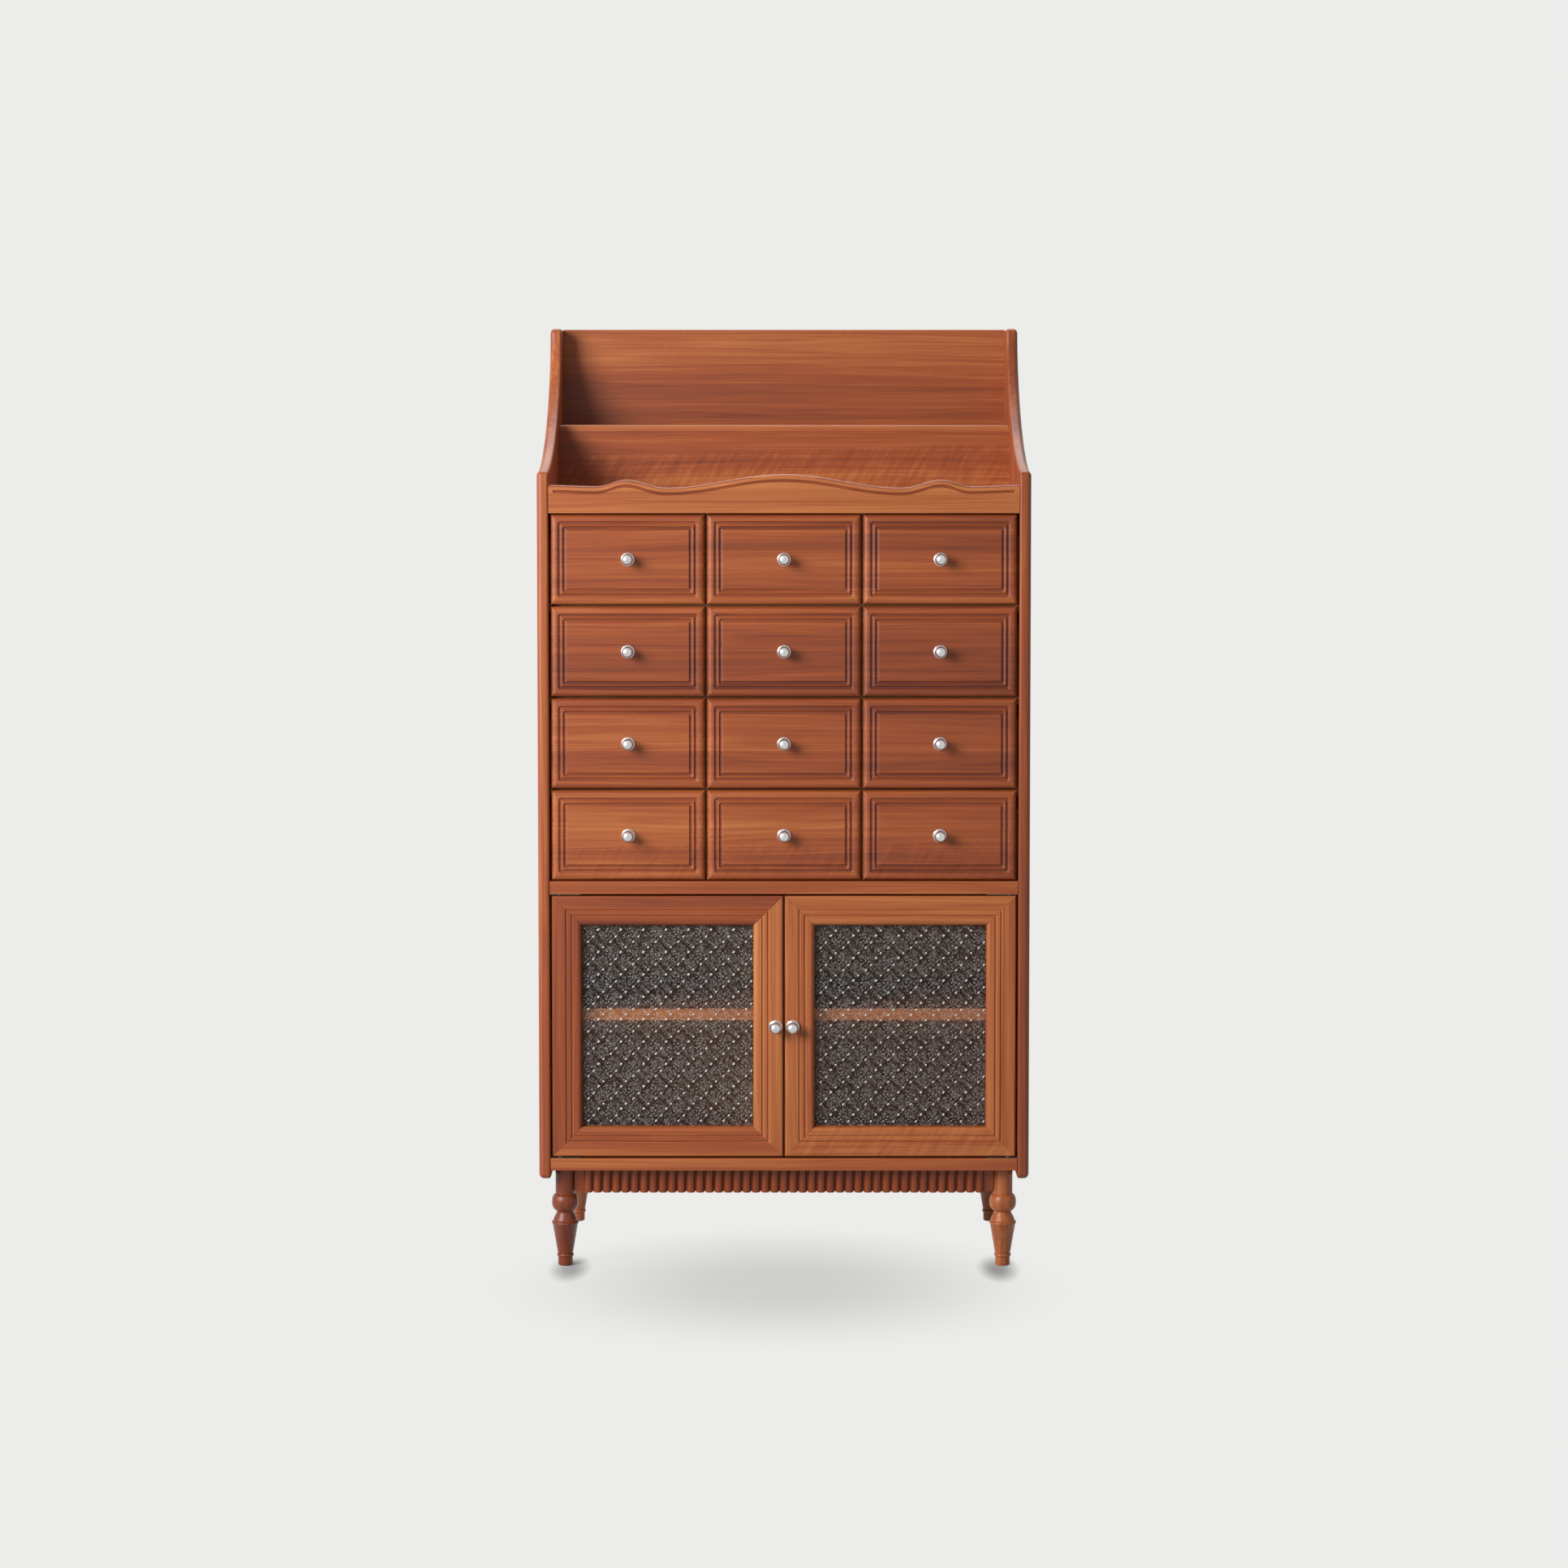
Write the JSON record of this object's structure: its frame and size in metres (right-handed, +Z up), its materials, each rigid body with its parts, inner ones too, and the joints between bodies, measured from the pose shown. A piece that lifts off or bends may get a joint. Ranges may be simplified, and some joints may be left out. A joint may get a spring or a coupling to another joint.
{
  "type": "dresser",
  "caption": "Tall cherry-stained wooden dresser with an open hutch top, rows of small drawers, a pair of patterned-glass doors, a reeded apron and turned legs.",
  "frame": {"origin": "on the floor, at the centre of the whole outline from the knobs to the rear edges", "axes": "+Z up, the front with drawers and doors faces -Y, +X to the right seen from the front"},
  "size_m": [0.8, 0.424, 1.55],
  "materials": {
    "cherry_wood": "satin",
    "drawer_wood": "satin",
    "pressed_glass": "gloss",
    "chrome_knobs": "gloss",
    "steel_pins": "satin",
    "catch_plastic": "matte"
  },
  "bodies": {
    "root": {"side_left": "cherry_wood", "side_right": "cherry_wood", "bottom_board": "cherry_wood", "middle_board": "cherry_wood", "deck": "cherry_wood", "case_back": "drawer_wood", "hutch_back": "cherry_wood", "hutch_divider": "cherry_wood", "gallery_rail": "cherry_wood", "drawer_partitions": "drawer_wood", "dust_boards": "drawer_wood", "cabinet_partition": "cherry_wood", "shelves": "cherry_wood", "shelf_pins": "steel_pins", "apron": "cherry_wood", "legs": "cherry_wood", "pivot_plates": "steel_pins", "door_catches": "catch_plastic"},
    "door_left": {"door_left_frame": "cherry_wood", "door_left_glass": "pressed_glass", "door_left_knob": "chrome_knobs"},
    "door_right": {"door_right_frame": "cherry_wood", "door_right_glass": "pressed_glass", "door_right_knob": "chrome_knobs"},
    "drawer_1": {"drawer_1_front": "cherry_wood", "drawer_1_box": "drawer_wood", "drawer_1_knob": "chrome_knobs"},
    "drawer_2": {"drawer_2_front": "cherry_wood", "drawer_2_box": "drawer_wood", "drawer_2_knob": "chrome_knobs"},
    "drawer_3": {"drawer_3_front": "cherry_wood", "drawer_3_box": "drawer_wood", "drawer_3_knob": "chrome_knobs"},
    "drawer_4": {"drawer_4_front": "cherry_wood", "drawer_4_box": "drawer_wood", "drawer_4_knob": "chrome_knobs"},
    "drawer_5": {"drawer_5_front": "cherry_wood", "drawer_5_box": "drawer_wood", "drawer_5_knob": "chrome_knobs"},
    "drawer_6": {"drawer_6_front": "cherry_wood", "drawer_6_box": "drawer_wood", "drawer_6_knob": "chrome_knobs"},
    "drawer_7": {"drawer_7_front": "cherry_wood", "drawer_7_box": "drawer_wood", "drawer_7_knob": "chrome_knobs"},
    "drawer_8": {"drawer_8_front": "cherry_wood", "drawer_8_box": "drawer_wood", "drawer_8_knob": "chrome_knobs"},
    "drawer_9": {"drawer_9_front": "cherry_wood", "drawer_9_box": "drawer_wood", "drawer_9_knob": "chrome_knobs"},
    "drawer_10": {"drawer_10_front": "cherry_wood", "drawer_10_box": "drawer_wood", "drawer_10_knob": "chrome_knobs"},
    "drawer_11": {"drawer_11_front": "cherry_wood", "drawer_11_box": "drawer_wood", "drawer_11_knob": "chrome_knobs"},
    "drawer_12": {"drawer_12_front": "cherry_wood", "drawer_12_box": "drawer_wood", "drawer_12_knob": "chrome_knobs"}
  },
  "joints": [
    {"name": "drawer_1_slide", "type": "slide", "parent": "root", "child": "drawer_1", "axis": [0, -1, 0], "range_m": [0, 0.25]},
    {"name": "drawer_2_slide", "type": "slide", "parent": "root", "child": "drawer_2", "axis": [0, -1, 0], "range_m": [0, 0.25]},
    {"name": "drawer_3_slide", "type": "slide", "parent": "root", "child": "drawer_3", "axis": [0, -1, 0], "range_m": [0, 0.25]},
    {"name": "drawer_4_slide", "type": "slide", "parent": "root", "child": "drawer_4", "axis": [0, -1, 0], "range_m": [0, 0.25]},
    {"name": "drawer_5_slide", "type": "slide", "parent": "root", "child": "drawer_5", "axis": [0, -1, 0], "range_m": [0, 0.25]},
    {"name": "drawer_6_slide", "type": "slide", "parent": "root", "child": "drawer_6", "axis": [0, -1, 0], "range_m": [0, 0.25]},
    {"name": "drawer_7_slide", "type": "slide", "parent": "root", "child": "drawer_7", "axis": [0, -1, 0], "range_m": [0, 0.25]},
    {"name": "drawer_8_slide", "type": "slide", "parent": "root", "child": "drawer_8", "axis": [0, -1, 0], "range_m": [0, 0.25]},
    {"name": "drawer_9_slide", "type": "slide", "parent": "root", "child": "drawer_9", "axis": [0, -1, 0], "range_m": [0, 0.25]},
    {"name": "drawer_10_slide", "type": "slide", "parent": "root", "child": "drawer_10", "axis": [0, -1, 0], "range_m": [0, 0.25]},
    {"name": "drawer_11_slide", "type": "slide", "parent": "root", "child": "drawer_11", "axis": [0, -1, 0], "range_m": [0, 0.25]},
    {"name": "drawer_12_slide", "type": "slide", "parent": "root", "child": "drawer_12", "axis": [0, -1, 0], "range_m": [0, 0.25]},
    {"name": "door_left_hinge", "type": "hinge", "parent": "root", "child": "door_left", "pos_m": [-0.366, -0.178, 0.184], "axis": [0, 0, -1], "range_deg": [0, 105]},
    {"name": "door_right_hinge", "type": "hinge", "parent": "root", "child": "door_right", "pos_m": [0.366, -0.178, 0.184], "axis": [0, 0, 1], "range_deg": [0, 105]}
  ]
}
